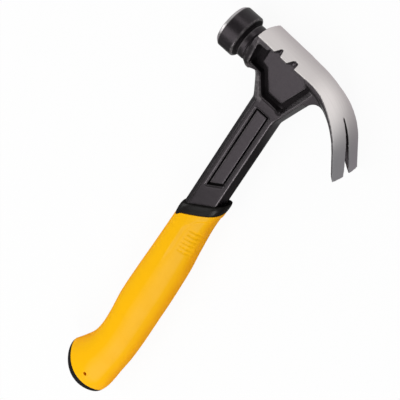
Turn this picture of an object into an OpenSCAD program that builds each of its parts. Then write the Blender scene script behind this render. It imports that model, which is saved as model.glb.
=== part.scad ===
// Curved claw hammer forged in one piece, with a moulded two-layer handle.
// Drawn from the crossing of the poll axis (along X) and the handle axis (along Y),
// then laid on its side: +Y from butt to head, +X from striking face to claw, +Z up.

/* [Poll] */
// Distance from the handle axis to the striking face
poll_reach = 52.5; // [46:0.5:60]
// Diameter of the poll
poll_d = 31.4; // [28:0.2:34]
// Length of the poll from the striking face to its back edge
poll_len = 14.1; // [12:0.1:15.5]
// Depth of the polished bevel round the striking face
face_bevel = 2.4; // [1:0.1:4]
// Radius that the bevel takes off the striking face
face_inset = 1.8; // [1:0.1:4]
// Chamfer on the back edge of the poll
poll_chamfer = 0.8; // [0.4:0.1:1.6]
// Width of the groove behind the poll
groove_w = 2.2; // [1.4:0.1:3]
// Diameter of the groove behind the poll
groove_d = 20.4; // [17:0.2:22]
// Diameter of the ring between the groove and the body
ring_d = 24.8; // [23:0.2:27]

/* [Body] */
// Distance from the handle axis to the front of the body
body_reach = 30; // [27:0.5:33]
// Height of the top face above the poll axis, where the claw starts to curve
top_h = 14.7; // [13:0.1:17]
// Slope of the top face towards the poll, degrees
top_slope = 2; // [0:0.5:4]
// Half width of the top face at the body
top_half_w = 14.4; // [13:0.1:16]
// Crown radius across the top face and the outer face of the claw
crown_r = 110; // [80:1:160]
// Thickness of the overhanging lip at its edge
lip_edge = 1.7; // [1:0.1:3]
// Thickness of the lip where it meets the web
lip_root = 5.4; // [4:0.1:7]
// Thickness of the front flange along the poll axis
flange_t = 4; // [3.4:0.2:6]
// Height of the flange below the poll axis
flange_drop = 15.3; // [14:0.1:17]
// Half thickness of the Y-shaped frame and of the neck
frame_half = 8.8; // [7:0.1:10]
// Distance from the poll axis to where the frame leaves the neck on the claw side
frame_drop = 31.5; // [29:0.1:34]
// Lean of the claw-side flank of the frame, degrees
flank_lean = 20.4; // [17:0.2:24]
// Length of the curve in the throat along the flank
throat_run = 15; // [11:0.5:18]
// Fall of the claw-side bar of the frame towards the cheek pocket
bar_fall = 3.4; // [2:0.1:5]
// Width of the sloping part of that bar
bar_slope_w = 3.4; // [2:0.1:3.8]
// Half thickness of the web at the bottom of the cheek pocket
web_half = 2.6; // [1.5:0.1:3.5]
// Half thickness at the raised cheek panel
panel_half = 4.4; // [3.6:0.1:6]

/* [Side notches] */
// Centre of the V notch along the poll axis
v_notch_x = -10.9; // [-13:0.1:-8]
// Width of the V notch at its mouth
v_notch_w = 5.4; // [4:0.1:7]
// Centre of the U notch along the poll axis
u_notch_x = 0.6; // [-2:0.1:3]
// Width of the U notch at its mouth
u_notch_w = 6.4; // [5:0.1:8]
// Width of the U notch at its round end
u_notch_end = 4; // [3:0.1:4.8]
// Depth of both notches from the edge of the lip
notch_depth = 8; // [6:0.1:9]

/* [Claw] */
// Radius of the outer face of the claw
claw_r = 54.5; // [52:0.5:60]
// Distance from the handle axis to the centre of the claw curve
claw_start = 12; // [10:0.5:14]
// Angle to which the claw curves before it runs straight, degrees
claw_sweep = 58; // [54:1:62]
// Length of the straight end of the claw
claw_run = 19.4; // [14:0.1:24]
// Half width of the claw at its root
claw_root_half = 12.9; // [12:0.1:14]
// Half width of the claw at its tips
claw_tip_half = 17; // [16:0.1:18]
// Thickness of the claw along its middle
claw_mid_t = 10.5; // [9:0.1:12]
// Thickness of the claw where its straight underside starts
claw_under_t = 8.5; // [7:0.1:10]
// Thickness of the flanks of the claw
claw_flank_t = 2; // [1.5:0.1:3]
// Half width of the thick middle of the claw
claw_rib_half = 5; // [4:0.1:7]
// Length of the nail slot measured back from the tips
slot_len = 38; // [34:0.5:44]
// Thickness of the claw at its tips
claw_tip_t = 1.6; // [1.2:0.1:2.4]
// Width of the nail slot at the tips
slot_w = 8; // [6:0.1:9]
// Width of the nail slot at its root
slot_root_w = 1.2; // [0.8:0.1:2]

/* [Neck and tang] */
// Half width of the neck at its middle plane
neck_half = 12.5; // [11:0.1:13]
// Distance from the handle axis to the claw-side edge of the flat face of the neck
neck_face_half = 9.8; // [8.5:0.1:10.5]
// Width of the chamfer along the poll-side edge of the neck and the frame
edge_chamfer = 4.4; // [3:0.1:5]
// Height of the straight wall under that chamfer, from the middle plane
edge_wall = 4.2; // [3:0.1:5.5]
// Half width of the recess in the neck
recess_half = 5.4; // [4.5:0.1:6]
// Distance from the handle axis to the middle of the recess
recess_x = 0.6; // [0:0.1:1.5]
// Depth of the recess in the neck
recess_depth = 4.4; // [2:0.1:5.5]
// Half width of the pad that stands in the recess
pad_half = 4.2; // [3:0.1:4.4]
// Depth of the face of the pad below the face of the neck
pad_sink = 0.8; // [0.3:0.1:1.5]
// Width of the tang
tang_w = 18; // [14:0.5:20]
// Thickness of the tang
tang_t = 8; // [6:0.2:9]
// Distance from the end of the tang to the lowest point of the butt
tang_gap = 31; // [27:1:55]
// Width of the slot between the prongs of the tang
fork_w = 4.4; // [3:0.1:6]
// Length of the slot between the prongs of the tang
fork_len = 66; // [40:1:90]

/* [Handle] */
// Thickness of the yellow sleeve
sleeve_t = 3; // [2:0.1:3.4]
// Squareness of the handle section at the palm, 2 is an ellipse
palm_power = 2.3; // [2:0.1:2.8]
// Squareness of the handle section at the collar
collar_power = 3; // [2.8:0.1:3.4]
// Slope of the collar, rise per unit of width
collar_slope = 0.72; // [0.5:0.02:0.9]
// Height of the collar along the handle
collar_h = 9.4; // [7:0.1:12]
// Distance from the poll axis to the lower edge of the collar at the handle axis
collar_low = 127.4; // [124:0.2:131]
// Half thickness of the handle at the collar
collar_half = 11; // [10.8:0.1:12]
// Half thickness of the handle at the palm
palm_half = 12.3; // [11.5:0.1:14]
// Distance from the poll axis to the lowest point of the butt
butt_low = 315; // [312:0.5:320]
// Diameter of the small hole near the butt
pin_hole_d = 3; // [2:0.1:4]
// Distance from the poll axis to the small hole
pin_hole_low = 299.6; // [297:0.2:303]
// Distance from the handle axis to the small hole, towards the poll
pin_hole_x = 1.4; // [-3:0.1:3]

/* [Hidden] */
$fn = 96;
// Length that is longer than any cut has to be
far = 200;
// Overlap that keeps joined shapes of one piece from only touching
weld = 0.5;

// Claw curve, and how far its sides bulge past its tips
claw_bulge = 0.4;
// The straight runs before and after the curve lap into it and lie this much lower
run_step = 0.04;
run_lap = 1;
claw_cy = top_h - claw_r * cos(top_slope);
function claw_point(angle, depth) =
    [claw_start, claw_cy] + (claw_r - depth) * [sin(angle), cos(angle)];
function turned(a, b) = a[0] * b[1] - a[1] * b[0];
claw_way = [cos(claw_sweep), -sin(claw_sweep)];
tip = claw_point(claw_sweep, run_step) + claw_run * claw_way;
tip_low = claw_point(claw_sweep, claw_tip_t) + claw_run * claw_way;
arc_start = claw_point(top_slope, 0);
top_front = top_h - run_step + (body_reach + arc_start[0]) * tan(top_slope);

// Throat between the neck and the claw: the underside of the claw and the flank of the frame,
// both straight, meet in a corner that a curve rounds off
claw_under = claw_point(45, claw_under_t);
flank_low = [neck_half, -frame_drop];
flank_way = [sin(flank_lean), cos(flank_lean)];
under_way = (tip_low - claw_under) / norm(tip_low - claw_under);
throat_corner = flank_low + flank_way * turned(claw_under - flank_low, under_way)
    / turned(flank_way, under_way);
flank_high = throat_corner - flank_way * throat_run;

// Poll-side edge of the frame
brace_high = [-19.6, -13.8];
brace_low = [-neck_half, -27.2];
frame_top = 11;
frame_low = -44;
neck_left = [-neck_half, frame_low];
neck_right = [neck_half, frame_low];
function mirrored(p) = [-p[0], p[1]];
neck_top = -24;
// Claw-side wall of the cheek pocket
wall_low = [9.4, -21.2];
wall_high = [19.4, 8];

// Collar, shoulder of the tang and the row's origin
shoulder_low = collar_low - 3.5;
tang_end = butt_low - tang_gap;
recess_top = -30;
recess_low = shoulder_low - 24.6;
mid_x = (tip[0] - poll_reach) / 2;
mid_y = (top_front - butt_low) / 2;
rest_z = max(claw_tip_half + claw_bulge, poll_d / 2);

// Handle stations from the collar down: poll-side point, claw-side point,
// push of the middle of the ring, half thickness, squareness of the section
collar_x = [-13.8, 15];
function collar_point(x, low) = [x, -low + collar_slope * x];
function collar_station(low) =
    [collar_point(collar_x[0], low), collar_point(collar_x[1], low), [0, 0], collar_half, collar_power];
butt_half = palm_half - 2;
butt_power = 2;
// The sections are drawn for a butt at drawn_low. With another butt_low, all below flare_high moves
// as one, and the palm above it stretches
drawn_low = 315;
flare_high = 259;
function moved(p) =
    [p[0], p[1] - (butt_low - drawn_low) * min(1, (-p[1] - collar_low) / (flare_high - collar_low))];
seam_station = [moved([-25.5, -291]), moved([13.2, -309]), [-5.9, -14.5], butt_half, butt_power];
// The cap reaches this far past the seam, and its floor dips to butt_low between its two ends
cap_reach = [-1.3, -4.2];
floor_ends = [seam_station[0] + cap_reach, seam_station[1] + cap_reach];
floor_dip = butt_low + sqrt((butt_low + floor_ends[0][1]) * (butt_low + floor_ends[1][1]))
    + (floor_ends[0][1] + floor_ends[1][1]) / 2;
floor_station = [floor_ends[0], floor_ends[1], [seam_station[2][0], -floor_dip], butt_half, butt_power];
sleeve_stations = [
    collar_station(collar_low),
    [moved([-14.2, -151]), moved([14.8, -136]), [0, 0], mix(collar_half, palm_half, 0.5),
     mix(collar_power, palm_power, 0.6)],
    [moved([-14.9, -174]), moved([17.2, -168]), [0, 0], palm_half - 0.3, palm_power],
    [moved([-15.6, -200]), moved([18.4, -200]), [0, 0], palm_half, palm_power],
    [moved([-15.8, -224]), moved([18.6, -228]), [0, 0], palm_half, palm_power],
    [moved([-14.4, -244]), moved([18.7, -252]), [0, 0], palm_half - 0.1, palm_power],
    [moved([-14.2, -259]), moved([18.1, -270]), [0, -1], palm_half, palm_power],
    [moved([-16, -271]), moved([16.8, -284]), [-1, -4], palm_half + 0.2, palm_power],
    [moved([-20, -280.5]), moved([15.5, -300]), [-3.3, -9], palm_half, mix(palm_power, butt_power, 0.5)],
    seam_station];
cap_round = 2;
cap_steps = 6;

// Rings of the handle
ring_n = 32;
sub_n = 3;
function power(v, n) = sign(v) * pow(abs(v), 2 / n);
function mix(a, b, t) = a + (b - a) * t;
function bezier(a, b, c, t) = mix(mix(a, b, t), mix(b, c, t), t);
function spline(p, q, r, s, t) =
    q + (r - p) * t / 2 + (p * 2 - q * 5 + r * 4 - s) * t * t / 2
    + (q * 3 - p - r * 3 + s) * t * t * t / 2;
function near(list, i) = list[max(0, min(len(list) - 1, i))];
function station(list, i, t) =
    [for (k = [0:4]) spline(near(list, i - 1)[k], near(list, i)[k], near(list, i + 1)[k],
                            near(list, i + 2)[k], t)];
function fine(list) = concat(
    [for (i = [0:len(list) - 2]) for (j = [0:sub_n - 1]) station(list, i, j / sub_n)],
    [list[len(list) - 1]]);
function ring(s, inset) =
    let (half = norm(s[1] - s[0]) / 2, middle = (s[0] + s[1]) / 2 + s[2])
    [for (k = [0:ring_n - 1])
        let (angle = 360 * k / ring_n,
             p = bezier(s[0], middle, s[1], 0.5 + power(cos(angle), s[4]) / 2 * (1 - inset / half)))
        [p[0], p[1], power(sin(angle), s[4]) * (s[3] - inset)]];
function stitch(a, b) =
    [for (k = [0:ring_n - 1])
        let (n = (k + 1) % ring_n)
        each [[a * ring_n + k, b * ring_n + k, b * ring_n + n],
              [a * ring_n + k, b * ring_n + n, a * ring_n + n]]];
function lid(a, flip) =
    [for (k = [0:ring_n / 2 - 1])
        let (p = a * ring_n + k, q = p + 1, r = a * ring_n + (ring_n - k) % ring_n,
             s = a * ring_n + ring_n - k - 1)
        each [if (k > 0) flip ? [p, r, s] : [p, s, r],
              if (k < ring_n / 2 - 1) flip ? [p, s, q] : [p, q, s]]];
module closed_loft(rings) {
    polyhedron([for (r = rings) each r],
               concat(lid(0, false), [for (i = [0:len(rings) - 2]) each stitch(i, i + 1)],
                      lid(len(rings) - 1, true)));
}
module tube_loft(rings) {
    polyhedron([for (r = rings) each r],
               [for (i = [0:len(rings) - 1]) each stitch(i, (i + 1) % len(rings))]);
}
function reverse(list) = [for (i = [len(list) - 1:-1:0]) list[i]];

// Lays a piece on its side with the row's origin under the middle of its box
module laid() {
    translate([-mid_x, -mid_y, rest_z]) children();
}
// Outline in X and Z, run along Y
module plan_prism(points, length, low = 0) {
    translate([0, low + length, 0]) rotate([90, 0, 0]) linear_extrude(length) polygon(points);
}
// Outline in Y and Z, run along X
module cross_prism(points, length, left) {
    translate([left, 0, 0]) rotate([90, 0, 90]) linear_extrude(length) polygon(points);
}
// Plane through the claw's centre: X is the radius, Y is across, Z runs along the claw
module at_claw(angle) {
    translate([claw_start, claw_cy, 0]) rotate([90, 0, 90 - angle]) children();
}
function both_sides(points) = concat(points, reverse([for (p = points) [p[0], -p[1]]]));

// Crowned section of the top: thickness at the edges, depth and half width of the middle
module top_section(edge, root, rib) {
    half = claw_tip_half + 2 * weld;
    low = claw_r - crown_r + sqrt(crown_r * crown_r - top_half_w * top_half_w) - edge;
    intersection() {
        translate([claw_r - crown_r, 0]) circle(crown_r, $fn = 360);
        polygon(both_sides([[claw_r + weld, half], [low, half], [low, top_half_w - weld],
                            [claw_r - root, rib]]));
    }
}
module lip_section() {
    top_section(lip_edge, lip_root, panel_half - weld);
}
module claw_section() {
    top_section(claw_flank_t, claw_mid_t, claw_rib_half);
}
// Outline of the top face seen from above
module top_plan() {
    front = body_reach;
    points = [[-front, 0], [-front + 0.6, top_half_w / 2], [-front + 1.4, top_half_w], [0, top_half_w],
              [claw_start + 8, claw_root_half], [claw_start + 16, claw_root_half],
              [claw_point(31, 0)[0], mix(claw_root_half, claw_tip_half, 0.6)],
              [claw_point(44, 0)[0], mix(claw_root_half, claw_tip_half, 0.95)],
              [claw_point(claw_sweep, 0)[0], claw_tip_half + claw_bulge], [tip[0], claw_tip_half]];
    plan_prism(both_sides(points), far, -far / 2);
}
module claw_slot() {
    turn = claw_sweep - 6;
    along = [cos(turn), -sin(turn)];
    root = tip - along * slot_len;
    deep = 2 * claw_mid_t;
    points = both_sides([[0, slot_root_w / 2], [slot_len - 5, slot_w / 2 - 0.9],
                         [slot_len + 3, slot_w / 2 + 1]]);
    translate([root[0], root[1], 0]) rotate([0, 0, -turn]) {
        plan_prism(points, 2 * deep, -deep);
        rotate([90, 0, 0]) cylinder(h = 2 * deep, d = slot_root_w, center = true);
    }
}
module side_notches() {
    mouth = top_half_w + weld;
    deep = top_half_w - notch_depth;
    v_half = v_notch_w / 2;
    v_round = 0.6;
    u_half = u_notch_w / 2;
    u_round = u_notch_end / 2;
    plan_prism([[v_notch_x - v_half, mouth], [v_notch_x - v_half - v_round, mouth + 2],
                [v_notch_x + v_half + v_round, mouth + 2], [v_notch_x + v_half, mouth],
                [v_notch_x, deep + v_round], [v_notch_x - 2 * v_round, deep]], far, 0);
    plan_prism([[u_notch_x - u_half, mouth], [u_notch_x - u_half, mouth + 2],
                [u_notch_x + u_half, mouth + 2], [u_notch_x + u_half, mouth],
                [u_notch_x + u_round, deep + u_round], [u_notch_x - u_round, deep + u_round]],
               far, 0);
    translate([u_notch_x, 0, deep + u_round]) rotate([-90, 0, 0]) cylinder(h = far, r = u_round);
}
// Open space under the claw, seen from the side
module under_claw() {
    steps = 14;
    curve = [for (i = [0:steps]) bezier(flank_high, throat_corner, claw_under, i / steps)];
    polygon(concat([[flank_low[0], -far], flank_low], curve,
                   [tip_low, tip_low + [far, -far / 2], [far, -far]]));
}
module top_and_claw() {
    body_run = body_reach + arc_start[0] + 2;
    difference() {
        intersection() {
            union() {
                at_claw(top_slope) translate([-run_step, 0, -body_run]) linear_extrude(body_run + run_lap)
                    lip_section();
                translate([claw_start, claw_cy, 0]) rotate([0, 0, 90 - claw_sweep])
                    rotate_extrude(angle = claw_sweep - top_slope) claw_section();
                at_claw(claw_sweep) translate([-run_step, 0, -run_lap]) linear_extrude(claw_run + run_lap)
                    claw_section();
            }
            top_plan();
        }
        translate([0, 0, -far / 2]) linear_extrude(far) under_claw();
        claw_slot();
        side_notches();
    }
}
// Profile of the ring, the groove and the poll: radius, distance from the handle axis
module poll() {
    back = poll_reach - poll_len;
    ring_front = back - groove_w;
    rotate([0, -90, 0]) rotate_extrude() polygon([
        [0, body_reach - flange_t], [ring_d / 2, body_reach - flange_t], [ring_d / 2, ring_front],
        [groove_d / 2, ring_front], [groove_d / 2, back], [poll_d / 2 - poll_chamfer, back],
        [poll_d / 2, back + poll_chamfer], [poll_d / 2, poll_reach - face_bevel],
        [poll_d / 2 - face_inset, poll_reach], [0, poll_reach]]);
}
module flange() {
    low = flange_drop;
    side = [[top_h - 1.2, top_half_w - 0.2], [7, top_half_w], [-6, 11.2], [-12.4, 6.8], [-low, 3]];
    cross_prism(both_sides(side), flange_t, -body_reach + 0.6);
}
// Frame outline seen from the side, down to the top of the neck
module frame_outline() {
    difference() {
        polygon([[-body_reach + flange_t - weld, frame_top], [-body_reach + flange_t - weld, -11.8],
                 brace_high, brace_low, neck_left, neck_right,
                 [tip[0], frame_low], claw_under + [1, 1], claw_point(25, 4), [claw_start + 8, frame_top]]);
        under_claw();
    }
}
module pocket_outline() {
    left = -body_reach + flange_t;
    polygon([[left, 20], [left, -6.4], [left + 1.6, -7.6], [-15.6, -8.2], [-6.5, -21.2], wall_low,
             wall_high, [wall_high[0], 20]]);
}
module panel_outline() {
    polygon([[-19.6, 20], [-19.6, -3], [-14.6, -4.2], [-5.3, -18.2], [6.6, -18.2], [15.6, 6], [15.6, 20]]);
}
// Slants the outer edge p to q of the frame from the height of its wall to its faces, by cut.
// It runs past p by before, and its end at q is mitred for the edge that goes on towards r.
module edge_slant(p, q, before, r, wall, cut) {
    rise = frame_half - wall;
    run = norm(q - p);
    turn = atan2(q[1] - p[1], q[0] - p[0]);
    mitre = (atan2(r[1] - q[1], r[0] - q[0]) - turn) / 2;
    translate([p[0], p[1], 0]) rotate([0, 0, turn]) intersection() {
        for (side = [0, 1])
            mirror([0, 0, side]) rotate([90, 0, 90]) translate([0, 0, -before])
                linear_extrude(before + run + 2 * frame_half)
                    polygon([[-cut, wall - rise], [2 * cut, wall + 2 * rise], [-cut, wall + 2 * rise]]);
        translate([run, 0, 0]) rotate([0, 0, mitre]) translate([-far, -far / 2, -far / 2]) cube(far);
    }
}
// Slopes the claw-side bar of the frame down to the cheek pocket, running past both ends of its wall
module bar_slope() {
    past = 1.3;
    run = norm(wall_high - wall_low);
    turn = atan2(wall_high[1] - wall_low[1], wall_high[0] - wall_low[0]);
    low = frame_half - bar_fall * (1 + 1 / bar_slope_w);
    high = frame_half + bar_fall;
    translate([wall_low[0], wall_low[1], 0]) rotate([0, 0, turn])
        for (side = [0, 1])
            mirror([0, 0, side]) rotate([90, 0, 90]) translate([0, 0, -past]) linear_extrude(run + 2 * past)
                polygon([[1, low], [1, high], [-2 * bar_slope_w, high]]);
}
// Narrows the frame where it runs into the underside of the claw
module root_taper() {
    plan_prism(both_sides([[-body_reach, frame_half], [20, frame_half], [claw_under[0], claw_rib_half],
                           [2 * claw_under[0], claw_rib_half]]), far, -far / 2);
}
module body() {
    difference() {
        intersection() {
            translate([0, 0, -frame_half]) linear_extrude(2 * frame_half) frame_outline();
            root_taper();
        }
        for (side = [0, 1])
            mirror([0, 0, side]) translate([0, 0, web_half]) linear_extrude(far) pocket_outline();
        bar_slope();
        edge_slant(brace_high, brace_low, 4, neck_left, edge_wall, edge_chamfer);
        mirror([1, 0, 0]) edge_slant(mirrored(neck_left), mirrored(brace_low), 1, mirrored(brace_high),
                                     edge_wall, edge_chamfer);
        edge_slant(neck_right, flank_low, 1, flank_high, 0, neck_half - neck_face_half);
        mirror([1, 0, 0]) edge_slant(mirrored(flank_high), mirrored(flank_low), 0, mirrored(neck_right),
                                     0, neck_half - neck_face_half);
    }
    intersection() {
        translate([0, 0, -panel_half]) linear_extrude(2 * panel_half) panel_outline();
        translate([0, 0, -panel_half]) linear_extrude(2 * panel_half) frame_outline();
    }
}
// Bar of the neck, chamfered on its poll side and cut off along the slope of the collar
module neck_bar() {
    difference() {
        plan_prism(both_sides([[neck_half, 0], [neck_face_half, frame_half],
                               [edge_chamfer - neck_half, frame_half], [-neck_half, edge_wall]]),
                   far, neck_top - far);
        translate([0, -shoulder_low, 0]) rotate([0, 0, atan(collar_slope)])
            translate([-far / 2, -far, -far / 2]) cube(far);
    }
}
// Outline of the recess in the neck, drawn in by a gap on every side
module recess_outline(gap) {
    left = recess_x - recess_half + gap;
    right = recess_x + recess_half - gap;
    low = recess_low - 2 * gap;
    polygon([[left, recess_top - gap], collar_point(left, low), collar_point(right, low),
             [right, recess_top - gap]]);
}
// Body and neck with the recess sunk into both sides of the neck and a pad left standing in it
module body_and_neck() {
    floor_z = frame_half - recess_depth;
    pad_z = frame_half - pad_sink;
    difference() {
        union() {
            body();
            neck_bar();
        }
        for (side = [0, 1])
            mirror([0, 0, side]) translate([0, 0, floor_z]) linear_extrude(far) recess_outline(0);
    }
    translate([0, 0, -pad_z]) linear_extrude(2 * pad_z) recess_outline(recess_half - pad_half);
}
module fork_slot() {
    root = -tang_end + fork_len - fork_w / 2;
    translate([-fork_w / 2, -tang_end - weld, -tang_t])
        cube([fork_w, root + tang_end + weld, 2 * tang_t]);
    translate([0, root, -tang_t]) cylinder(h = 2 * tang_t, d = fork_w);
}
module tang_bar() {
    translate([-tang_w / 2, -tang_end, -tang_t / 2])
        cube([tang_w, tang_end - shoulder_low + tang_w, tang_t]);
}
module hammer_forging() {
    color("dimgray") laid() {
        poll();
        flange();
        top_and_claw();
        body_and_neck();
        difference() {
            tang_bar();
            fork_slot();
        }
    }
}
module tang_damper() {
    color("slategray") laid() intersection() {
        tang_bar();
        fork_slot();
    }
}
module grip_core() {
    rings = concat([ring(collar_station(collar_low - collar_h), 0),
                    ring(sleeve_stations[0], 0)],
                   [for (s = fine(sleeve_stations)) ring(s, sleeve_t)]);
    color("black") laid() difference() {
        closed_loft(rings);
        neck_bar();
        tang_bar();
    }
}
module grip_sleeve() {
    stations = fine(sleeve_stations);
    color("gold") laid() difference() {
        tube_loft(concat([for (s = stations) ring(s, 0)],
                         reverse([for (s = stations) ring(s, sleeve_t)])));
        translate(concat(moved([-pin_hole_x, -pin_hole_low]), [palm_half - sleeve_t - 1]))
            cylinder(h = far, d = pin_hole_d);
    }
}
module butt_cap() {
    color("black") laid() closed_loft(
        [for (i = [0:cap_steps])
            let (turn = 90 * i / cap_steps)
            ring([for (k = [0:4]) mix(seam_station[k], floor_station[k], sin(turn))],
                 cap_round * (1 - cos(turn)))]);
}
hammer_forging();
tang_damper();
grip_core();
grip_sleeve();
butt_cap();
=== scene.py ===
import math

import bmesh
import bpy
import numpy as np
from mathutils import Matrix, Vector
from mathutils.kdtree import KDTree


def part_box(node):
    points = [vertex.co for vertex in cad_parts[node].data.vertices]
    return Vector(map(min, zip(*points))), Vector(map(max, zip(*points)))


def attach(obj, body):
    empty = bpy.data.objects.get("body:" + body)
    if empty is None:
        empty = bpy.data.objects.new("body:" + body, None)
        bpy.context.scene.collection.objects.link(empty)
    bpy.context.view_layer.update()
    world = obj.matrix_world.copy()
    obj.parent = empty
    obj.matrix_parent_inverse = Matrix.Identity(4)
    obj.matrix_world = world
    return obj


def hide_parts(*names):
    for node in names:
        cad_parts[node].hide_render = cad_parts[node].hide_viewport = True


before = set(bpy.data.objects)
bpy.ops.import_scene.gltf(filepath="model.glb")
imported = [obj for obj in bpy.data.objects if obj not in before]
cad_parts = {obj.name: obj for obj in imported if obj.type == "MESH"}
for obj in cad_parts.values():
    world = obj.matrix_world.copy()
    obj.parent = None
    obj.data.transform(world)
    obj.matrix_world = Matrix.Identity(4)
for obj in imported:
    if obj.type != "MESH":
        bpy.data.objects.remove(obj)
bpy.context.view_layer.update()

# The hammer is drawn in millimetres from the crossing of the poll axis (X) and the handle axis (Y),
# with Z across the head, as in the part's source. laid() brings points into the row's frame.
MM = 0.001

# Poll: the striking end, then the groove and the ring behind it
POLL_REACH = 52.5
POLL_LONG = 14.1
POLL_BACK = POLL_REACH - POLL_LONG
POLL_R = 15.7
POLL_CHAMFER = 0.8
FACE_BEVEL = 2.4
FACE_INSET = 1.8
GROOVE_W = 2.2
RING_R = 12.4

# Top face and claw: the crown runs straight, round an arc and straight again
CLAW_R = 54.5
CLAW_START = 12
CLAW_SWEEP = 58
TOP_H = 14.7
TOP_SLOPE = 2
TOP_RUN = 42
CROWN_R = 110
CROWN_SPAN = 30
RUN_STEP = 0.04
CLAW_CENTRE = np.array([CLAW_START, TOP_H - CLAW_R * math.cos(math.radians(TOP_SLOPE))])

# Neck
NECK_HALF = 12.5
NECK_FACE_HALF = 9.8
EDGE_CHAMFER = 4.4
EDGE_WALL = 4.2
FRAME_HALF = 8.8

# Handle
COLLAR_SLOPE = 0.72
COLLAR_H = 9.4
COLLAR_LOW = 127.4
COLLAR_HALF = 11
COLLAR_POWER = 3
COLLAR_X = (-13.8, 15)
SHOULDER_RISE = 3.5
SHOULDER_LOW = COLLAR_LOW - SHOULDER_RISE
PALM_HALF = 12.3
PALM_POWER = 2.3
SLEEVE_T = 3
PIN_HOLE = (-1.4, -299.6)
PIN_HOLE_D = 3
BUTT_LOW = 315
BUTT_HALF = 10.3
BUTT_POWER = 2
CAP_ROUND = 2
CAP_REACH = (-1.3, -4.2)

head_low, head_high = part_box("hammer_forging")
butt_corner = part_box("butt_cap")[0]
CROSSING = np.array([head_low.x / MM + POLL_REACH, butt_corner.y / MM + BUTT_LOW,
                     (head_low.z + head_high.z) / 2 / MM])


def laid(points):
    """Drawing millimetres to the row's metres."""
    return (np.asarray(points, float) + CROSSING) * MM


def drawn(points):
    """The row's metres to drawing millimetres."""
    return np.asarray(points, float) / MM - CROSSING


def mix(a, b, t):
    return a + (b - a) * t


def ease(low, high, v):
    """Soft step from 0 at low to 1 at high; it falls where high is the smaller."""
    t = np.clip((np.asarray(v, float) - low) / (high - low), 0, 1)
    return t * t * (3 - 2 * t)


def hump(v, width):
    return np.exp(-np.square(np.asarray(v, float) / width))


# Finishes

class Tone:
    """A socket of a finish. Sums, differences and products add Math nodes; | takes the larger."""

    def __init__(self, tree, socket=None):
        self.tree = tree
        self.socket = socket

    def put(self, value, socket):
        if isinstance(value, Tone):
            self.tree.links.new(value.socket, socket)
        else:
            socket.default_value = value

    def node(self, kind, settings=None, sockets=None, out=0):
        """Adds a node: its settings first, then the values or links of its sockets."""
        made = self.tree.nodes.new(kind)
        for key, value in (settings or {}).items():
            setattr(made, key, value)
        for key, value in (sockets or {}).items():
            self.put(value, made.inputs[key])
        return Tone(self.tree, made.outputs[out])

    def math(self, operation, first, second=0.0):
        return self.node("ShaderNodeMath", {"operation": operation}, {0: first, 1: second})

    def __add__(self, other):
        return self.math("ADD", self, other)

    def __radd__(self, other):
        return self.math("ADD", other, self)

    def __sub__(self, other):
        return self.math("SUBTRACT", self, other)

    def __rsub__(self, other):
        return self.math("SUBTRACT", other, self)

    def __mul__(self, other):
        return self.math("MULTIPLY", self, other)

    def __rmul__(self, other):
        return self.math("MULTIPLY", other, self)

    def __or__(self, other):
        return self.math("MAXIMUM", self, other)

    def ramp(self, low, high):
        return self.node("ShaderNodeMapRange", {"interpolation_type": "SMOOTHSTEP"},
                         {"Value": self, "From Min": low, "From Max": high})

    def noise(self, vector, scale, detail=3.0, roughness=0.5):
        return self.node("ShaderNodeTexNoise", None,
                         {"Vector": vector, "Scale": scale, "Detail": detail,
                          "Roughness": roughness})

    def colour(self, share, first, second):
        return self.node("ShaderNodeMix", {"data_type": "RGBA"}, {0: share, 6: first, 7: second}, 2)

    def vector(self, operation, first, second):
        return self.node("ShaderNodeVectorMath", {"operation": operation}, {0: first, 1: second})

    def joined(self, x, y, z):
        return self.node("ShaderNodeCombineXYZ", None, {0: x, 1: y, 2: z})

    def part(self, vector, axis):
        return self.node("ShaderNodeSeparateXYZ", None, {0: vector}, axis)

    def place(self):
        return self.node("ShaderNodeTexCoord", out="Object")

    def field(self, name):
        return self.node("ShaderNodeAttribute", {"attribute_name": name}, out="Fac")

    def facing(self, axis):
        return self.part(self.node("ShaderNodeNewGeometry", out="Normal"), axis)

    def relief(self, height, strength, distance):
        return self.node("ShaderNodeBump", None,
                         {"Strength": strength, "Distance": distance, "Height": height})

    def blend(self, share, first, second):
        return self.node("ShaderNodeMixShader", None, {0: share, 1: first, 2: second})


def finish(name, varying, steady):
    """A named finish: varying(start) gives what changes over the surface, steady the rest."""
    material = bpy.data.materials.new(name)
    material.use_nodes = True
    shader = material.node_tree.nodes["Principled BSDF"]
    start = Tone(material.node_tree)
    for key, value in steady.items():
        shader.inputs[key].default_value = value
    for key, value in varying(start).items():
        start.put(value, shader.inputs[key])
    return material


COAT_DEEP = (0.0040, 0.0033, 0.0038, 1)
COAT_THIN = (0.0062, 0.0051, 0.0059, 1)
COAT_FLECK = (0.0110, 0.0093, 0.0105, 1)
COAT_ON_PLATES = (0.0240, 0.0205, 0.0232, 1)
# Pale grey of rubbed edges, also laid as painted highlight lines
COAT_RUBBED_AND_HIGHLIT = (0.13, 0.120, 0.122, 1)
# Painted shade, nearly black, for the hollows of the forging
COAT_PAINTED_SHADE = (0.0016, 0.0012, 0.0014, 1)
STEEL_TOP = (0.87, 0.825, 0.805, 1)
STEEL_TIPS_PAINTED_SHADE = (0.43, 0.43, 0.442, 1)
STEEL_BRUSHED = (0.50, 0.49, 0.485, 1)
# Where the steel is painted darker along the claw (painted shade at the tips), and how close the
# brush marks lie along and across it
TIPS_ALONG = (0.063, 0.104)
BRUSH_ALONG = 26.0
BRUSH_ACROSS = 1900.0
# Share of the wear and painted highlight that shows between the chips
WORN_AND_HIGHLIT_LEAST = 0.45


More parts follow.
